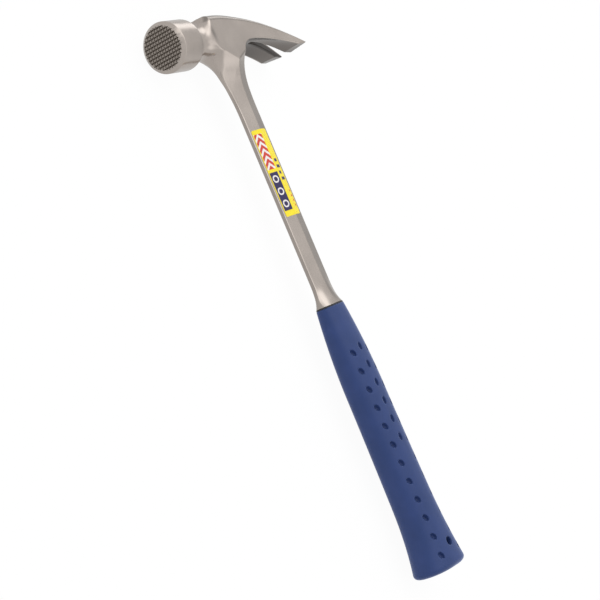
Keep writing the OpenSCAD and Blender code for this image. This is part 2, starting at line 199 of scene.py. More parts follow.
def shank_field(x, y, z):
    """Two flat facets on each side that meet in a ridge, and swell slowly into an oval collar."""
    half_w = SHANK_HW + (COLLAR_HW - SHANK_HW) * ramp(x, COLLAR_START, COLLAR_END)
    front = half_w + WEB_REACH * ease(share(x, NECK_END, CHEEK_CORNER) ** WEB_POWER)
    back = half_w + fillet_out(x, CLAW_ROOT, CLAW_FILLET)
    nose = NOSE_EDGE_R + NOSE_R * ramp(x, NOSE_END, CHEEK_CORNER)
    nose = np.minimum(nose, np.maximum(NOSE_THIN, -scoop(x, -front, 0.0)))
    body = round_max(scoop(x, y, z), (-front - y) * OUTLINE_LEAN, nose)
    body = round_max(body, (y - back) * OUTLINE_LEAN, BACK_EDGE_R)
    oval = oval_reach(np.abs(y) / half_w, np.abs(z) / COLLAR_HT, COLLAR_POWER)
    oval = (oval - 1) * COLLAR_HT * COLLAR_LEAN
    body = body + (oval - body) * share(x, COLLAR_SWELL, COLLAR_END) ** COLLAR_GROWTH
    return np.maximum(body, np.maximum(SHANK_TOP - x, x - COLLAR_END))


# Head and shank are joined with a fillet, ground flat on both sides, dished a little beside
# the neck, and slotted between the claws. The edges are softer in front of the cheeks.
JOIN_R, JOIN_GAIN, FRONT_SOFT = 2.0, 0.8, (-6.0, -14.0)
FLANK_EDGE_R, FLANK_GAIN, FLANK_LEAN = 0.7, 0.6, 0.98
DISH_DEPTH, DISH_PLACE, DISH_SIZE = 0.25, (1.0, -15.5), (6.0, 2.6)
FORGED_BOX = (-17.5, -35.5, -20.2), (197.5, 78.8, 20.2)


def forging_field(x, y, z):
    """The whole forging, without the turned poll and the tang."""
    head, top, side = head_field(x, y, z)
    soft = ramp(y, *FRONT_SOFT)
    core = round_min(head, shank_field(x, y, z), JOIN_R + JOIN_GAIN * soft)
    dish = DISH_DEPTH * spot(x, y, DISH_PLACE, DISH_SIZE)
    flank = (np.abs(z) - side + dish) * FLANK_LEAN
    core = round_max(core, flank, FLANK_EDGE_R + FLANK_GAIN * soft)
    solid = np.maximum(core, round_max(top, flank, crown_edge_r(y)))
    root = CLAW_Y - SLOT_LENGTH + SLOT_R
    slot_hw = SLOT_R + SLOT_SPREAD * np.clip((y - root) / (CLAW_Y - root), 0, SLOT_PAST)
    slot = np.where(y < root, np.hypot(z, y - root) - SLOT_R, np.abs(z) - slot_hw)
    return np.maximum(round_max(solid, -slot, SLOT_EDGE_R), NECK_CUT - y)


def skin(field, low, high, step, passes=3):
    """Closed mesh of quads on the zero surface of a field of distances."""
    axes = [np.arange(a, b + step, step) for a, b in zip(low, high)]
    gx, gy, gz = axes[0][:, None, None], axes[1][None, :, None], axes[2][None, None, :]
    full = (len(axes[0]), len(axes[1]), len(axes[2]))
    f = np.empty(full, np.float32)
    slab = 24
    for i in range(0, full[0], slab):
        f[i:i + slab] = np.broadcast_to(field(gx[i:i + slab], gy, gz), f[i:i + slab].shape)
    inside = f < 0
    corner = [(i, j, k) for i in (0, 1) for j in (0, 1) for k in (0, 1)]
    n = [m - 1 for m in full]
    count = np.zeros(n, np.uint8)
    for i, j, k in corner:
        count += inside[i:i + n[0], j:j + n[1], k:k + n[2]]
    cells = np.argwhere((count > 0) & (count < len(corner)))

    # Each cell on the surface gets one point, the mean of the cuts through its edges.
    values = np.stack([f[tuple((cells + c).T)] for c in corner], axis=1).astype(float)
    total = np.zeros((len(cells), 3))
    hits = np.zeros(len(cells))
    for a, ca in enumerate(corner):
        for b, cb in enumerate(corner):
            if b > a and sum(abs(p - q) for p, q in zip(ca, cb)) == 1:
                va, vb = values[:, a], values[:, b]
                cut = (va < 0) != (vb < 0)
                t = np.where(cut, va / np.where(cut, va - vb, 1), 0)[:, None]
                at = np.array(ca) + t * (np.array(cb) - np.array(ca))
                total += at * cut[:, None]
                hits += cut
    verts = np.array(low) + step * (cells + total / hits[:, None])

    # Each edge of the grid that is cut gets one quad, between the four cells round it.
    index = np.full(n, -1, np.int64)
    index[tuple(cells.T)] = np.arange(len(cells))
    around = (1, 1), (0, 1), (0, 0), (1, 0)
    quads = []
    for axis in range(3):
        u, v = (axis + 1) % 3, (axis + 2) % 3
        here = [slice(1, -1)] * 3
        there = [slice(1, -1)] * 3
        here[axis], there[axis] = slice(0, -1), slice(1, None)
        at = np.argwhere(inside[tuple(here)] != inside[tuple(there)])
        at[:, u] += 1
        at[:, v] += 1
        starts = inside[tuple(at.T)]
        du, dv = np.eye(3, dtype=int)[u], np.eye(3, dtype=int)[v]
        ring = np.stack([index[tuple((at - s * du - t * dv).T)] for s, t in around], axis=1)
        ring[~starts] = ring[~starts][:, ::-1]
        quads.append(ring)

    # The points are then drawn onto the surface along its slope.
    probe, least_slope, most_move = 0.02, 0.2, 0.5 * step
    for _ in range(passes):
        value = field(*verts.T)
        slope = np.stack([(field(*(verts + d).T) - field(*(verts - d).T)) / (2 * probe)
                          for d in np.eye(3) * probe], axis=1)
        move = value / np.maximum((slope ** 2).sum(1), least_slope)
        verts = verts - slope * np.clip(move, -most_move, most_move)[:, None]
    return verts, np.concatenate(quads)


def piece_from(name, verts, faces, sharp=None):
    """Object with smooth faces from points in millimetres round the crossing of the axes."""
    mesh = bpy.data.meshes.new(name)
    points = (np.asarray(verts, float) + AXIS) / 1000
    mesh.from_pydata(points.tolist(), [], [list(map(int, q)) for q in faces])
    mesh.validate()
    mesh.update()
    mesh.shade_smooth()
    if sharp:
        mesh.set_sharp_from_angle(angle=math.radians(sharp))
    piece = bpy.data.objects.new(name, mesh)
    bpy.context.scene.collection.objects.link(piece)
    return piece


forged, forged_quads = skin(forging_field, *FORGED_BOX, MESH_STEP)

# Where the neck runs into the web, the corners are ground smooth.
GRIND_PASSES, GRIND_PULL = 110, 0.5
GRIND_TOP, GRIND_LOW, GRIND_SIDE = (3, 8), (26, 20), (11.2, 9.7)
GRIND_BACK, GRIND_FRONT = (-10, -14), (-34, -31)
fx, fy, fz = forged.T
ground = (ramp(fx, *GRIND_TOP) * ramp(fx, *GRIND_LOW) * ramp(fy, *GRIND_BACK)
          * ramp(fy, *GRIND_FRONT) * ramp(np.abs(fz), *GRIND_SIDE))
pairs = np.concatenate([forged_quads[:, [k, (k + 1) % 4]] for k in range(4)])
pairs = pairs[ground[pairs[:, 0]] > 0]
worked = np.unique(pairs[:, 0])
place_of = np.zeros(len(ground), np.int64)
place_of[worked] = np.arange(len(worked))
owner = place_of[pairs[:, 0]]
neighbours = np.bincount(owner, minlength=len(worked))
for _ in range(GRIND_PASSES):
    mean = np.stack([np.bincount(owner, forged[pairs[:, 1], c], len(worked)) / neighbours
                     for c in range(3)], axis=1)
    forged[worked] += GRIND_PULL * ground[worked][:, None] * (mean - forged[worked])
head_and_shank = piece_from("head_and_shank", forged, forged_quads)

# Painted shade and painted dark reflections: the steel is painted darker in the hollows under the
# claws, on one wall of the slot, along the crown's long edges, in a spot on the neck's flare and down
# the front of the shank.
# Strength of the painted shade at each place, and the dark tone that it mixes towards.
NEAR_CLAW_PAINTED_SHADE, FAR_CLAW_PAINTED_SHADE, FAR_ROOT_PAINTED_SHADE = 0.69, 0.70, 0.22
SLOT_WALL_PAINTED_SHADE, CROWN_EDGE_PAINTED_SHADE, FLARE_PAINTED_SHADE, FRONT_PAINTED_SHADE = 0.97, 0.50, 0.42, 0.14
HOLLOW_START, HOLLOW_UNDER, HOLLOW_INSET, FAR_ROOT_RUN = (15, 22), (0, 1.5), (0, 1.4), (30, 75)
SLOT_WALL, SLOT_RUN, SLOT_FADE, SLOT_START, SLOT_TOP = 3.6, (37, 78), (0, 0.8), (22, 30), (1.5, 3.5)
EDGE_BAND, EDGE_TOP_FADE, EDGE_SIDE_FADE, EDGE_START = 1.02, 0.3, 0.5, (-30, -18)
FLARE_SPOT, FLARE_SPOT_SIZE, FLARE_SIDE = (-2.8, -18.7), (4.5, 2.0), 7.0
FRONT_EDGE, FRONT_START = (-9.6, -10.6), (30, 50)
PAINTED_SHADE_TONE = (0.07, 0.064, 0.061, 1)
fx, fy, fz = forged.T
crown = np.interp(fy, *crown_curve)
middle = (crown + np.interp(fy, *under_curve)) / 2
inset = claw_side(fy) - np.abs(fz)
hollow = ramp(fy, *HOLLOW_START) * ramp(fx - middle, *HOLLOW_UNDER) * ramp(inset, *HOLLOW_INSET)
far_claw_painted_shade = FAR_CLAW_PAINTED_SHADE + FAR_ROOT_PAINTED_SHADE * (1 - ramp(fy, *FAR_ROOT_RUN))
edge_r = crown_edge_r(fy)
edge = (ease((EDGE_BAND * edge_r - fx + crown) / (EDGE_TOP_FADE * edge_r))
        * ease((edge_r - inset) / (EDGE_SIDE_FADE * edge_r)) * ramp(fy, *EDGE_START))
slot_reach = SLOT_WALL + SLOT_SPREAD * share(fy, *SLOT_RUN)
slot_wall = ramp(slot_reach - np.abs(fz), *SLOT_FADE) * ramp(fy, *SLOT_START) * (fz < 0)
flare_spot = spot(fx, fy, FLARE_SPOT, FLARE_SPOT_SIZE) * (np.abs(fz) > FLARE_SIDE)
front_strip = ramp(fy, *FRONT_EDGE) * ramp(fx, *FRONT_START)
# Painted shade at each point: the strongest of the painted marks.
painted_shade_level = np.maximum.reduce([
    hollow * np.where(fz > 0, NEAR_CLAW_PAINTED_SHADE, far_claw_painted_shade),
    CROWN_EDGE_PAINTED_SHADE * edge,
    SLOT_WALL_PAINTED_SHADE * slot_wall * ramp(fx - crown, *SLOT_TOP),
    FLARE_PAINTED_SHADE * flare_spot,
    FRONT_PAINTED_SHADE * front_strip])
# The painted shade is kept on the mesh as a point attribute.
painted_shade = head_and_shank.data.attributes.new("painted_shade", "FLOAT", "POINT")
painted_shade.data.foreach_set("value", painted_shade_level.astype(np.float32))

# The tang goes on inside the grip, with the section of the shank. It starts inside the
# collar and is a hair smaller than the bore of the liner.
TANG_HW, TANG_END, TANG_LAP = 9.5, 359.7, 0.5
TANG_FIT_W, TANG_FIT_T, TANG_END_FIT = 0.998, 0.995, 0.02
tang_section = [(-TANG_HW, EDGE_H), (0, RIDGE_H), (TANG_HW, EDGE_H),
                (TANG_HW, -EDGE_H), (0, -RIDGE_H), (-TANG_HW, -EDGE_H)]
tang_ends = (COLLAR_END - TANG_LAP, TANG_END - TANG_END_FIT)
tang_verts = [(x, y * TANG_FIT_W, z * TANG_FIT_T) for x in tang_ends for y, z in tang_section]
tang_faces = [(i, (i + 1) % 6, (i + 1) % 6 + 6, i + 6) for i in range(6)]
tang_faces += [(5, 4, 3, 2, 1, 0), (6, 7, 8, 9, 10, 11)]
tang = piece_from("tang", tang_verts, tang_faces, sharp=20)


def new_finish(name):
    """New material, its tree of nodes and its surface shader."""
    finish = bpy.data.materials.new(name)
    finish.use_nodes = True
    return finish, finish.node_tree, finish.node_tree.nodes["Principled BSDF"]


def noise(tree, place, scale, detail):
    """Grain in a material, read at a place."""
    grain = tree.nodes.new("ShaderNodeTexNoise")
    grain.inputs["Scale"].default_value = scale
    grain.inputs["Detail"].default_value = detail
    tree.links.new(place, grain.inputs["Vector"])
    return grain.outputs["Fac"]


def two_tone(tree, grain, dark, light, start, end):
    """Colour between two tones, by the grain."""
    tone = tree.nodes.new("ShaderNodeValToRGB")
    for element, position, colour in zip(tone.color_ramp.elements, (start, end), (dark, light)):
        element.position = position
        element.color = colour
    tree.links.new(grain, tone.inputs["Fac"])
    return tone.outputs["Color"]


def spread(tree, grain, low, high):
    """Value between low and high, by the grain."""
    value = tree.nodes.new("ShaderNodeMapRange")
    value.inputs["To Min"].default_value = low
    value.inputs["To Max"].default_value = high
    tree.links.new(grain, value.inputs["Value"])
    return value.outputs["Result"]


def relief(tree, grain, strength, depth):
    """Fine relief of a surface, by the grain."""
    bump = tree.nodes.new("ShaderNodeBump")
    bump.inputs["Strength"].default_value = strength
    bump.inputs["Distance"].default_value = depth
    tree.links.new(grain, bump.inputs["Height"])
    return bump.outputs["Normal"]


# Satin polished steel: a warm grey metal with faint clouding in its tone. Fine grinding
# lines along the hammer change its roughness a little and give it a faint relief.
STEEL_DARK, STEEL_LIGHT = (0.43, 0.383, 0.348, 1), (0.50, 0.446, 0.405, 1)
satin_steel, tree, steel = new_finish("satin_steel")
steel.inputs["Metallic"].default_value = 1.0
where = tree.nodes.new("ShaderNodeTexCoord")
stretch = tree.nodes.new("ShaderNodeMapping")
stretch.inputs["Scale"].default_value = (90, 1400, 1400)
tree.links.new(where.outputs["Object"], stretch.inputs["Vector"])
grind = noise(tree, stretch.outputs["Vector"], scale=1.0, detail=4.0)
cloud = noise(tree, where.outputs["Object"], scale=55.0, detail=3.0)
# Painted shade: the attribute mixes the polished tone towards a dark tone.
painted_shade_node = tree.nodes.new("ShaderNodeAttribute")
painted_shade_node.attribute_name = "painted_shade"
painted_shade_mix = tree.nodes.new("ShaderNodeMix")
painted_shade_mix.data_type = "RGBA"
tree.links.new(painted_shade_node.outputs["Fac"], painted_shade_mix.inputs["Factor"])
polish = two_tone(tree, cloud, STEEL_DARK, STEEL_LIGHT, start=0.3, end=0.7)
tree.links.new(polish, painted_shade_mix.inputs["A"])
painted_shade_mix.inputs["B"].default_value = PAINTED_SHADE_TONE
tree.links.new(painted_shade_mix.outputs["Result"], steel.inputs["Base Color"])
tree.links.new(spread(tree, grind, low=0.17, high=0.27), steel.inputs["Roughness"])
tree.links.new(relief(tree, grind, strength=0.012, depth=0.0003), steel.inputs["Normal"])

for piece in (head_and_shank, tang):
    piece.data.materials.append(satin_steel)
    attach(piece, "root")

# Poll with the milled face: the turned end of the same forging. Two crossing sets of
# straight V-grooves are milled through the face and run out in the bevel round it.
FACE_BEVEL, BEVEL_R, LIP_IN, LIP_OUT = 3.2, 0.7, 0.25, 0.2
BARREL, POLL_REAR, REAR_R, REAR_TURN = (-56.0, -50.0), -42.2, 2.4, 62
WAIST_Y, WAIST_R, WAIST_OVAL_RUN = -37.82, 4.67, 6.0
POLL_NECK = (-34.0, -30.4)
TOOTH_PITCH, TOOTH_FLAT, TOOTH_DEPTH = 2.4, 0.7, 0.9
COMB_REACH, COMB_BACK = 19.0, 1.0
SEGMENTS, POLL_SHARP = 160, 24


def arc(cx, cy, r, a0, a1, steps):
    """Points of an arc, with its angles in degrees."""
    return [(cx + r * math.cos(math.radians(a)), cy + r * math.sin(math.radians(a)))
            for a in np.linspace(a0, a1, steps)]


poll_profile = (
    [(POLL_R - FACE_BEVEL - LIP_IN, FACE_Y), (POLL_R - FACE_BEVEL + LIP_OUT, FACE_Y + LIP_OUT)]
    + arc(POLL_R - BEVEL_R, FACE_Y + FACE_BEVEL, BEVEL_R, -45, 0, steps=5)
    + [(POLL_R, y) for y in BARREL]
    + arc(POLL_R - REAR_R, POLL_REAR - REAR_R, REAR_R, 0, REAR_TURN, steps=9)
    + arc(NECK_R + WAIST_R, WAIST_Y, WAIST_R, 180 + REAR_TURN, 180, steps=9)
    + [(NECK_R, y) for y in POLL_NECK])
poll_verts, poll_faces = [], []
for r, y in poll_profile:
    oval = 1 - (1 - NECK_OVAL) * float(ramp(y, POLL_REAR, POLL_REAR + WAIST_OVAL_RUN))
    for i in range(SEGMENTS):
        a = 2 * math.pi * i / SEGMENTS
        poll_verts.append((r * math.cos(a), y, oval * r * math.sin(a)))
for k in range(len(poll_profile) - 1):
    this, after = k * SEGMENTS, (k + 1) * SEGMENTS
    for i in range(SEGMENTS):
        j = (i + 1) % SEGMENTS
        poll_faces.append((this + i, after + i, after + j, this + j))
last = (len(poll_profile) - 1) * SEGMENTS
poll_faces.append(tuple(range(SEGMENTS)))
poll_faces.append(tuple(last + i for i in reversed(range(SEGMENTS))))
poll = piece_from("poll", poll_verts, poll_faces)

teeth = 2 * math.ceil(POLL_R / TOOTH_PITCH)
span = teeth * TOOTH_PITCH / 2
groove = (TOOTH_PITCH - TOOTH_FLAT) / 2
comb_line = [(span, FACE_Y - COMB_BACK), (-span, FACE_Y - COMB_BACK)]
for i in range(teeth):
    z = (i + 0.5) * TOOTH_PITCH - span
    comb_line += [(z - groove, FACE_Y), (z, FACE_Y + TOOTH_DEPTH), (z + groove, FACE_Y)]


def face_outwards(piece):
    """Turn all faces of a closed mesh to look out."""
    shell = bmesh.new()
    shell.from_mesh(piece.data)
    bmesh.ops.recalc_face_normals(shell, faces=shell.faces)
    shell.to_mesh(piece.data)
    shell.free()


def comb(name, along):
    """Cutter with one row of grooves, straight along x or z."""
    count = len(comb_line)
    ends = []
    for e in (-COMB_REACH, COMB_REACH):
        ends += [(e, y, s) if along == "x" else (s, y, e) for s, y in comb_line]
    faces = [tuple(range(count)), tuple(range(2 * count - 1, count - 1, -1))]
    faces += [(i, i + count, (i + 1) % count + count, (i + 1) % count) for i in range(count)]
    cutter = piece_from(name, ends, faces)
    face_outwards(cutter)
    return cutter


for cutter in (comb("groove_cutter_x", "x"), comb("groove_cutter_z", "z")):
    cut = poll.modifiers.new("milling", "BOOLEAN")
    cut.operation = "DIFFERENCE"
    cut.solver = "EXACT"
    cut.object = cutter
    bpy.context.view_layer.update()
    milled = bpy.data.meshes.new_from_object(poll.evaluated_get(bpy.context.evaluated_depsgraph_get()))
    poll.modifiers.clear()
    poll.data = milled
    bpy.data.objects.remove(cutter)
poll.data.shade_smooth()
poll.data.set_sharp_from_angle(angle=math.radians(POLL_SHARP))

# The milled face is painted darker with depth into its grooves, as painted shade, so only the tips of
# the teeth are bright.
TIP_TONE, GROOVE_PAINTED_SHADE_TONE = (0.29, 0.257, 0.229, 1), (0.21, 0.184, 0.162, 1)
TIP_DEPTH, GROOVE_DEPTH = 0.08, 0.75
MILLED_R, MILLED_DEPTH = 15.3, 0.95
milled_steel = satin_steel.copy()
milled_steel.name = "milled_steel"
tree = milled_steel.node_tree
part = tree.nodes.new("ShaderNodeSeparateXYZ")
tree.links.new(tree.nodes["Texture Coordinate"].outputs["Object"], part.inputs["Vector"])
deep = tree.nodes.new("ShaderNodeMapRange")
deep.inputs["From Min"].default_value = (FACE_Y + AXIS[1] + TIP_DEPTH) / 1000
deep.inputs["From Max"].default_value = (FACE_Y + AXIS[1] + GROOVE_DEPTH) / 1000
tree.links.new(part.outputs["Y"], deep.inputs["Value"])
# Painted shade: the colour goes from the tip tone to the dark groove tone with depth.
dark = tree.nodes.new("ShaderNodeMix")
dark.data_type = "RGBA"
tree.links.new(deep.outputs["Result"], dark.inputs["Factor"])
dark.inputs["A"].default_value = TIP_TONE
dark.inputs["B"].default_value = GROOVE_PAINTED_SHADE_TONE
tree.links.new(dark.outputs["Result"], tree.nodes["Principled BSDF"].inputs["Base Color"])

poll.data.materials.clear()
poll.data.materials.append(satin_steel)
poll.data.materials.append(milled_steel)
for polygon in poll.data.polygons:
    x, y, z = np.array(polygon.center) * 1000 - AXIS
    if math.hypot(x, z) < MILLED_R and y - FACE_Y < MILLED_DEPTH:
        polygon.material_index = 1
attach(poll, "root")
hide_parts("forged_hammer")

# Liner: a hard nylon sleeve on the tang. Only its oval rim shows, as a thin dark line
# between the steel collar and the grip.
NYLON_DARK, NYLON_LIGHT = (0.010, 0.011, 0.018, 1), (0.022, 0.024, 0.036, 1)
liner_nylon, tree, nylon = new_finish("liner_nylon")
nylon.inputs["Roughness"].default_value = 0.45
speck = tree.nodes.new("ShaderNodeTexNoise")
speck.inputs["Scale"].default_value = 900
shade = two_tone(tree, speck.outputs["Fac"], NYLON_DARK, NYLON_LIGHT, start=0.0, end=1.0)
tree.links.new(shade, nylon.inputs["Base Color"])
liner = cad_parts["grip_liner"]
liner.data.materials.clear()
liner.data.materials.append(liner_nylon)

# Grip: soft vinyl moulded over the liner, oval in section, swollen in the middle and
# flared at the butt, with rows of slanted oval pits on both sides and a hang hole.
GRIP_TOP, GRIP_POWER, GRIP_BEND = 197.0, 2.3, 1.2
GRIP_HW, GRIP_SWELL_W = 13.5, 3.2
GRIP_HT, GRIP_SWELL_T, GRIP_LOW_T = 7.2, 4.2, 3.0
SWELL_RUN, FLARE_RUN = 65.0, 54.0
LOW_POWER, THICK_POWER, FRONT_POWER, BACK_POWER = 1.4, 2.5, 2.2, 1.8
FLAT_LEAN, EDGE_LEAN = 0.75, 0.25
BUTT_FRONT, BUTT_BACK, BUTT_THICK = 8.8, 5.6, 1.6
BUTT_TILT, BUTT_PIVOT, BUTT_ROUND, TOP_ROUND = 1.7, 19.0, 4.5, 0.5
HANG_X, HANG_Y, HANG_R, HANG_EDGE_R = 373.8, 2.1, 3.0, 0.6
PIT_PITCH, PIT_TURN, PIT_EDGE_R, PIT_LEAN, PIT_REACH = 13.4, 33, 0.25, 1.6, 4.5
OUTER_PITS, OUTER_START, MIDDLE_PITS, MIDDLE_START = 12, 35.0, 6, 32.3
PIT_LONG, PIT_WIDE, PIT_DEEP = 2.85, 1.85, 2.6
LINER_HW, LINER_RIDGE, LINER_EDGE, LINER_END, LINER_FIT = 11.1, 5.6, 3.0, 361.3, 0.03
GRIP_BOX = (196.0, -26.5, -17.5), (392.8, 25.5, 17.5)


def butt_flare(x):
    """How far a place is into the flare of the butt, from 0 to 1."""
    return np.clip(1 - (BUTT_X - x) / FLARE_RUN, 0, 1)


def grip_section(x):
    """Reach of a section to the front and to the back, its half thickness and its middle."""
    swell = 1 - (1 - share(x, GRIP_TOP, GRIP_TOP + SWELL_RUN)) ** 2
    low = share(x, GRIP_TOP + SWELL_RUN, BUTT_X)
    flare = butt_flare(x)
    half_w = GRIP_HW + GRIP_SWELL_W * swell
    half_t = GRIP_HT + GRIP_SWELL_T * swell + GRIP_LOW_T * low ** LOW_POWER
    half_t = half_t + BUTT_THICK * flare ** THICK_POWER
    mid = GRIP_BEND * share(x, GRIP_TOP, BUTT_X) ** 2
    front = half_w + BUTT_FRONT * flare ** FRONT_POWER
    back = half_w + BUTT_BACK * flare ** BACK_POWER
    return front, back, half_t, mid


def pit_frames():
    """Centre, outward direction, direction across the grip and slant of every pit."""
    places = [(GRIP_TOP + OUTER_START + PIT_PITCH * i, turn)
              for i in range(OUTER_PITS) for turn in (-PIT_TURN, PIT_TURN)]
    places += [(GRIP_TOP + MIDDLE_START + PIT_PITCH * i, 0) for i in range(MIDDLE_PITS)]
    for x, turn in places:
        front, back, half_t, mid = (float(v) for v in grip_section(np.array(x)))
        half_w = front if turn > 0 else back
        a = math.radians(90 - turn)
        y = -half_w * math.copysign(abs(math.cos(a)) ** (2 / GRIP_POWER), math.cos(a))
        z = half_t * abs(math.sin(a)) ** (2 / GRIP_POWER)
        ny = math.copysign(abs(y / half_w) ** (GRIP_POWER - 1) / half_w, y)
        nz = abs(z / half_t) ** (GRIP_POWER - 1) / half_t
        out = np.array((0, ny, nz)) / math.hypot(ny, nz)
        flat = np.array((0, out[2], -out[1]))
        for side in (1, -1):
            flip = np.array((1, 1, side))
            yield np.array((x, mid + y, z)) * flip, out * flip, flat * flip, math.radians(turn)


pits = list(pit_frames())


def grip_field(x, y, z):
    """The grip without its pits and bores, with its butt tilted."""
    x = x + math.tan(math.radians(BUTT_TILT)) * (BUTT_PIVOT - y) * butt_flare(x) ** 2
    front, back, half_t, mid = grip_section(x)
    across = np.abs(y - mid) / np.where(y < mid, front, back)
    oval = oval_reach(across, np.abs(z) / half_t, GRIP_POWER)
    body = (oval - 1) * half_t * (FLAT_LEAN + EDGE_LEAN * across)
    return round_max(round_max(body, x - BUTT_X, BUTT_ROUND), GRIP_TOP - x, TOP_ROUND)


def pitted_grip(x, y, z):
    """The grip with its pits, its hang hole and the room for the liner."""
    f = grip_field(x, y, z)
    for centre, out, flat, slant in pits:
        if not (np.abs(x - centre[0]) < PIT_REACH).any():
            continue
        rel_x, rel_y, rel_z = x - centre[0], y - centre[1], z - centre[2]
        high = rel_y * out[1] + rel_z * out[2]
        across = rel_y * flat[1] + rel_z * flat[2]
        u = rel_x * math.cos(slant) + across * math.sin(slant)
        v = -rel_x * math.sin(slant) + across * math.cos(slant)
        bowl = np.sqrt((u / PIT_LONG) ** 2 + (v / PIT_WIDE) ** 2 + (high / PIT_DEEP) ** 2)
        f = round_max(f, (1 - bowl) * PIT_LEAN, PIT_EDGE_R)
    hole = np.hypot(x - HANG_X, y - HANG_Y) - HANG_R
    f = round_max(f, -hole, HANG_EDGE_R)
    slope = (LINER_RIDGE - LINER_EDGE) / LINER_HW
    facet = (np.abs(z) - LINER_RIDGE + slope * np.abs(y)) / math.hypot(1, slope)
    sleeve = np.maximum(np.maximum(facet, np.abs(y) - LINER_HW), x - LINER_END)
    return np.maximum(f, LINER_FIT - sleeve)


grip = piece_from("grip_moulding", *skin(pitted_grip, *GRIP_BOX, MESH_STEP))

VINYL_DARK, VINYL_LIGHT = (0.0175, 0.041, 0.145, 1), (0.0225, 0.048, 0.168, 1)
grip_vinyl, tree, vinyl = new_finish("grip_vinyl")
vinyl.inputs["Specular IOR Level"].default_value = 0.32
vinyl.inputs["Sheen Weight"].default_value = 0.6
vinyl.inputs["Sheen Roughness"].default_value = 0.35
vinyl.inputs["Sheen Tint"].default_value = (0.55, 0.65, 1.0, 1)
where = tree.nodes.new("ShaderNodeTexCoord")
mottle = noise(tree, where.outputs["Object"], scale=70, detail=3)
grain = noise(tree, where.outputs["Object"], scale=1500, detail=2)
navy = two_tone(tree, mottle, VINYL_DARK, VINYL_LIGHT, start=0.3, end=0.7)
tree.links.new(navy, vinyl.inputs["Base Color"])
tree.links.new(spread(tree, grain, low=0.42, high=0.58), vinyl.inputs["Roughness"])
tree.links.new(relief(tree, grain, strength=0.12, depth=0.0002), vinyl.inputs["Normal"])
grip.data.materials.append(grip_vinyl)
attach(grip, "root")
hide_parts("grip")

# Label: a thin printed foil with a glued back, pressed over the ridge on one side of the shank.
# Its print is a plain design in yellow, navy, red and white.
LABEL_TOP, LABEL_LENGTH, LABEL_CORNER = 67.0, 63.0, 1.2
LABEL_FRONT, LABEL_BACK = 9.2, 8.0
LABEL_UNDER, LABEL_T = 0.02, 0.15
RIDGE_DIP, RIDGE_SOFT = 0.10, 0.6
PRINT_STEP, FRONT_ROWS, BACK_ROWS = 0.25, 37, 33


def corner_tuck(end):
    """Inset of the long edges near an end of the label, where its corners are rounded."""
    left = LABEL_CORNER - np.minimum(end, LABEL_CORNER)
    return LABEL_CORNER - np.sqrt(np.maximum(0, LABEL_CORNER ** 2 - left ** 2))


along = np.linspace(0, LABEL_LENGTH, round(LABEL_LENGTH / PRINT_STEP) + 1)
across = np.concatenate([np.linspace(-LABEL_FRONT, 0, FRONT_ROWS),
                         np.linspace(0, LABEL_BACK, BACK_ROWS)[1:]])
reach = np.where(across < 0, LABEL_FRONT, LABEL_BACK)
tuck = corner_tuck(np.minimum(along, LABEL_LENGTH - along))
ly = across[None, :] * (1 - tuck[:, None] / reach[None, :])
lx = np.broadcast_to(along[:, None], ly.shape)
fall = (RIDGE_H - EDGE_H) / SHANK_HW
lz = RIDGE_H - fall * np.abs(ly) - RIDGE_DIP * np.maximum(0, 1 - np.abs(ly) / RIDGE_SOFT)
label_verts = np.concatenate([np.stack([LABEL_TOP + lx, ly, lz + h], axis=-1).reshape(-1, 3)
                              for h in (LABEL_UNDER, LABEL_T)])
na, nc = ly.shape
label_faces = []
for i in range(na - 1):
    for j in range(nc - 1):
        a = i * nc + j
        label_faces.append((a, a + 1, a + nc + 1, a + nc))
        b = na * nc + a
        label_faces.append((b, b + nc, b + nc + 1, b + 1))
rim = ([i * nc for i in range(na)] + [(na - 1) * nc + j for j in range(1, nc)]
       + [i * nc + nc - 1 for i in range(na - 2, -1, -1)] + [j for j in range(nc - 2, 0, -1)])
for a, b in zip(rim, rim[1:] + rim[:1]):
    label_faces.append((a, a + na * nc, b + na * nc, b))
label = piece_from("label_foil", label_verts, label_faces, sharp=40)
face_outwards(label)

# The print: red and white chevrons at the top of the front strip, a navy panel with white
# rings below them, and navy bars and red ticks on the yellow back strip.
YELLOW, NAVY = (0.93, 0.76, 0.03), (0.035, 0.028, 0.10)
RED, WHITE = (0.62, 0.06, 0.04), (0.86, 0.83, 0.82)
STRIP, STRIP_MID = (-8.6, -1.2), -4.9
CHEVRONS, CHEVRON_SLANT, CHEVRON_PITCH, CHEVRON_WIDE = (3, 29), 1.1, 5.2, 2.9
PANEL, RINGS, RING_R, RING_HALF = (31, 59), (36.0, 45.0, 54.0), 2.2, 0.5
BARS, BAR_START, BAR_WIDE = ((22.0, 5.6), (26.5, 6.6), (31.0, 4.6), (35.5, 6.6)), 0.8, 2.4
TICKS, TICK_ROW, TICK_PITCH, TICK_WIDE = (44, 58), (5.2, 6.8), 3.5, 1.4


def between(value, ends):
    """Where a value lies between two ends."""
    return (value > ends[0]) & (value < ends[1])


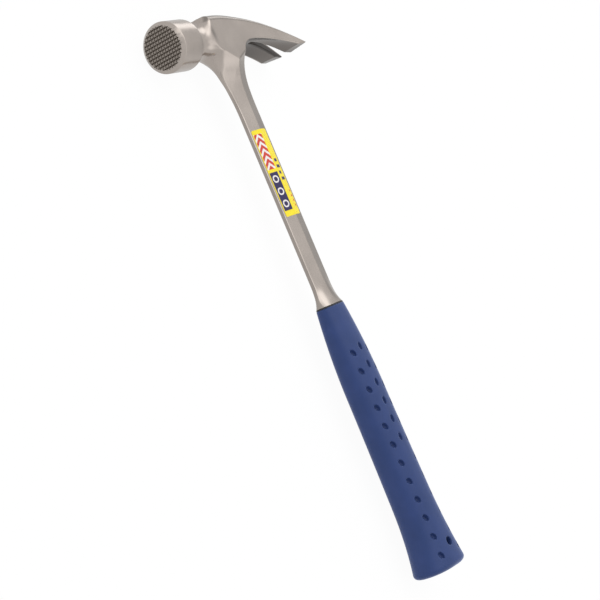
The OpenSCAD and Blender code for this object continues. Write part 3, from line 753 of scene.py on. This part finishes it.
ink = np.zeros(ly.shape + (3,))
ink[:] = YELLOW
strip = between(ly, STRIP)
stripes = (lx - CHEVRON_SLANT * np.abs(ly - STRIP_MID)) % CHEVRON_PITCH < CHEVRON_WIDE
ink[strip & between(lx, CHEVRONS)] = WHITE
ink[strip & between(lx, CHEVRONS) & stripes] = RED
ink[strip & between(lx, PANEL)] = NAVY
for ring_x in RINGS:
    ink[np.abs(np.hypot(lx - ring_x, ly - STRIP_MID) - RING_R) < RING_HALF] = WHITE
for bar_x, bar_end in BARS:
    ink[between(lx, (bar_x, bar_x + BAR_WIDE)) & between(ly, (BAR_START, bar_end))] = NAVY
ink[between(lx, TICKS) & between(ly, TICK_ROW) & (lx % TICK_PITCH < TICK_WIDE)] = RED
label_ink = label.data.attributes.new("ink", "FLOAT_COLOR", "POINT")
ink_rows = np.concatenate([ink.reshape(-1, 3)] * 2)
label_ink.data.foreach_set("color", np.c_[ink_rows, np.ones(len(ink_rows))].astype(np.float32).ravel())

label_print, tree, foil = new_finish("label_print")
foil.inputs["Roughness"].default_value = 0.38
foil.inputs["Specular IOR Level"].default_value = 0.3
inked = tree.nodes.new("ShaderNodeAttribute")
inked.attribute_name = "ink"
where = tree.nodes.new("ShaderNodeTexCoord")
wear = noise(tree, where.outputs["Object"], scale=420, detail=3)
worn = tree.nodes.new("ShaderNodeVectorMath")
worn.operation = "SCALE"
tree.links.new(inked.outputs["Color"], worn.inputs[0])
tree.links.new(spread(tree, wear, low=0.86, high=1.06), worn.inputs["Scale"])
tree.links.new(worn.outputs["Vector"], foil.inputs["Base Color"])
label.data.materials.append(label_print)
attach(label, "root")
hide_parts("label")

# Floor: a plain white sweep that the hammer lies on. It shows white to the camera, a little
# darker to the steel, and keeps the shadow of the hammer.
FLOOR_REACH, FLOOR_GLOW, MIRROR_LOSS = 6, 0.955, 0.22
floor_mesh = bpy.data.meshes.new("floor")
floor_corners = [(FLOOR_REACH * x, FLOOR_REACH * y, 0) for x, y in ((-1, -1), (1, -1), (1, 1), (-1, 1))]
floor_mesh.from_pydata(floor_corners, [], [(0, 1, 2, 3)])
floor = bpy.data.objects.new("floor", floor_mesh)
bpy.context.scene.collection.objects.link(floor)
floor_paper, tree, paper = new_finish("floor_paper")
paper.inputs["Base Color"].default_value = (0.93, 0.93, 0.93, 1)
paper.inputs["Roughness"].default_value = 0.9
paper.inputs["Specular IOR Level"].default_value = 0.0


def reckon(tree, operation, *values):
    """Result of a maths node, from plain values and sockets."""
    step = tree.nodes.new("ShaderNodeMath")
    step.operation = operation
    for socket, value in zip(step.inputs, values):
        if isinstance(value, (int, float)):
            socket.default_value = value
        else:
            tree.links.new(value, socket)
    return step.outputs[0]


path = tree.nodes.new("ShaderNodeLightPath")
white = tree.nodes.new("ShaderNodeEmission")
white.inputs["Color"].default_value = (1, 1, 1, 1)
mirrored = reckon(tree, "MULTIPLY_ADD", path.outputs["Is Glossy Ray"], -MIRROR_LOSS, 1.0)
tree.links.new(mirrored, white.inputs["Strength"])
seen = reckon(tree, "MAXIMUM", path.outputs["Is Camera Ray"], path.outputs["Is Glossy Ray"])
seen = reckon(tree, "MAXIMUM", seen, path.outputs["Is Transmission Ray"])
blend = tree.nodes.new("ShaderNodeMixShader")
tree.links.new(reckon(tree, "MULTIPLY", seen, FLOOR_GLOW), blend.inputs["Fac"])
tree.links.new(paper.outputs["BSDF"], blend.inputs[1])
tree.links.new(white.outputs["Emission"], blend.inputs[2])
tree.links.new(blend.outputs["Shader"], tree.nodes["Material Output"].inputs["Surface"])
floor.data.materials.append(floor_paper)

# Light: an even pale surround with soft bright panels and darker gaps in it, as in a light
# tent, and one soft lamp overhead. Each panel has a direction, the angles from its middle at
# which it starts and is full, and the strength that it adds.
SURROUND = 0.83
PANELS = [((-0.54, 0.84, 0.09), 15, 9, 1.1),
          ((0.10, 0.98, 0.12), 28, 12, -0.30),
          ((0.63, 0.32, 0.70), 20, 8, 0.5),
          ((-0.10, 0.50, 0.86), 16, 8, -0.28),
          ((-0.68, 0.55, 0.47), 20, 10, 1.1),
          ((0.02, -0.84, 0.54), 14, 6, -0.35),
          ((-0.50, -0.05, 0.85), 33, 24, 0.8)]
world = bpy.data.worlds.new("studio")
bpy.context.scene.world = world
world.use_nodes = True
tree = world.node_tree
sky = tree.nodes["Background"]
sky.inputs["Color"].default_value = (1, 1, 1, 1)
towards = tree.nodes.new("ShaderNodeTexCoord")
strength = SURROUND
for direction, wide, narrow, gain in PANELS:
    facing = tree.nodes.new("ShaderNodeVectorMath")
    facing.operation = "DOT_PRODUCT"
    tree.links.new(towards.outputs["Generated"], facing.inputs[0])
    facing.inputs[1].default_value = Vector(direction).normalized()
    panel = tree.nodes.new("ShaderNodeMapRange")
    panel.interpolation_type = "SMOOTHSTEP"
    panel.inputs["From Min"].default_value = math.cos(math.radians(wide))
    panel.inputs["From Max"].default_value = math.cos(math.radians(narrow))
    panel.inputs["To Min"].default_value = 0.0
    panel.inputs["To Max"].default_value = gain
    tree.links.new(facing.outputs["Value"], panel.inputs["Value"])
    strength = reckon(tree, "ADD", strength, panel.outputs["Result"])
path = tree.nodes.new("ShaderNodeLightPath")
shown = tree.nodes.new("ShaderNodeMix")
tree.links.new(path.outputs["Is Camera Ray"], shown.inputs["Factor"])
tree.links.new(strength, shown.inputs["A"])
shown.inputs["B"].default_value = 1.0
tree.links.new(shown.outputs["Result"], sky.inputs["Strength"])

LAMP_PLACE, LAMP_SIZE, LAMP_WATTS = Vector((-0.3, 0.2, 1.5)), 1.6, 3
lamp = bpy.data.lights.new("overhead", "AREA")
lamp.shape = "RECTANGLE"
lamp.size, lamp.size_y = LAMP_SIZE, LAMP_SIZE
lamp.energy = LAMP_WATTS
overhead = bpy.data.objects.new("overhead", lamp)
overhead.location = LAMP_PLACE
overhead.rotation_euler = (-LAMP_PLACE).to_track_quat("-Z", "Y").to_euler()
bpy.context.scene.collection.objects.link(overhead)

# Camera: placed where the photograph was taken from, with its roll. The place is in
# millimetres and the turn in degrees, and the focal length comes from pixels of the photo.
CAMERA_PLACE, CAMERA_TURN = (17.4854, -1017.6507, 657.2491), (31.40511, -50.30756, 52.70172)
SENSOR_MM, FOCAL_PX, PHOTO_PX = 36.0, 1757.878, 600
camera_data = bpy.data.cameras.new("camera")
camera = bpy.data.objects.new("camera", camera_data)
bpy.context.scene.collection.objects.link(camera)
bpy.context.scene.camera = camera
camera_data.sensor_width = SENSOR_MM
camera_data.lens = SENSOR_MM * FOCAL_PX / PHOTO_PX
camera_data.clip_start, camera_data.clip_end = 0.05, 20
turn = Euler([math.radians(angle) for angle in CAMERA_TURN])
camera.matrix_world = Matrix.LocRotScale(Vector(CAMERA_PLACE) / 1000, turn, None)

bpy.context.scene.view_settings.view_transform = "Standard"
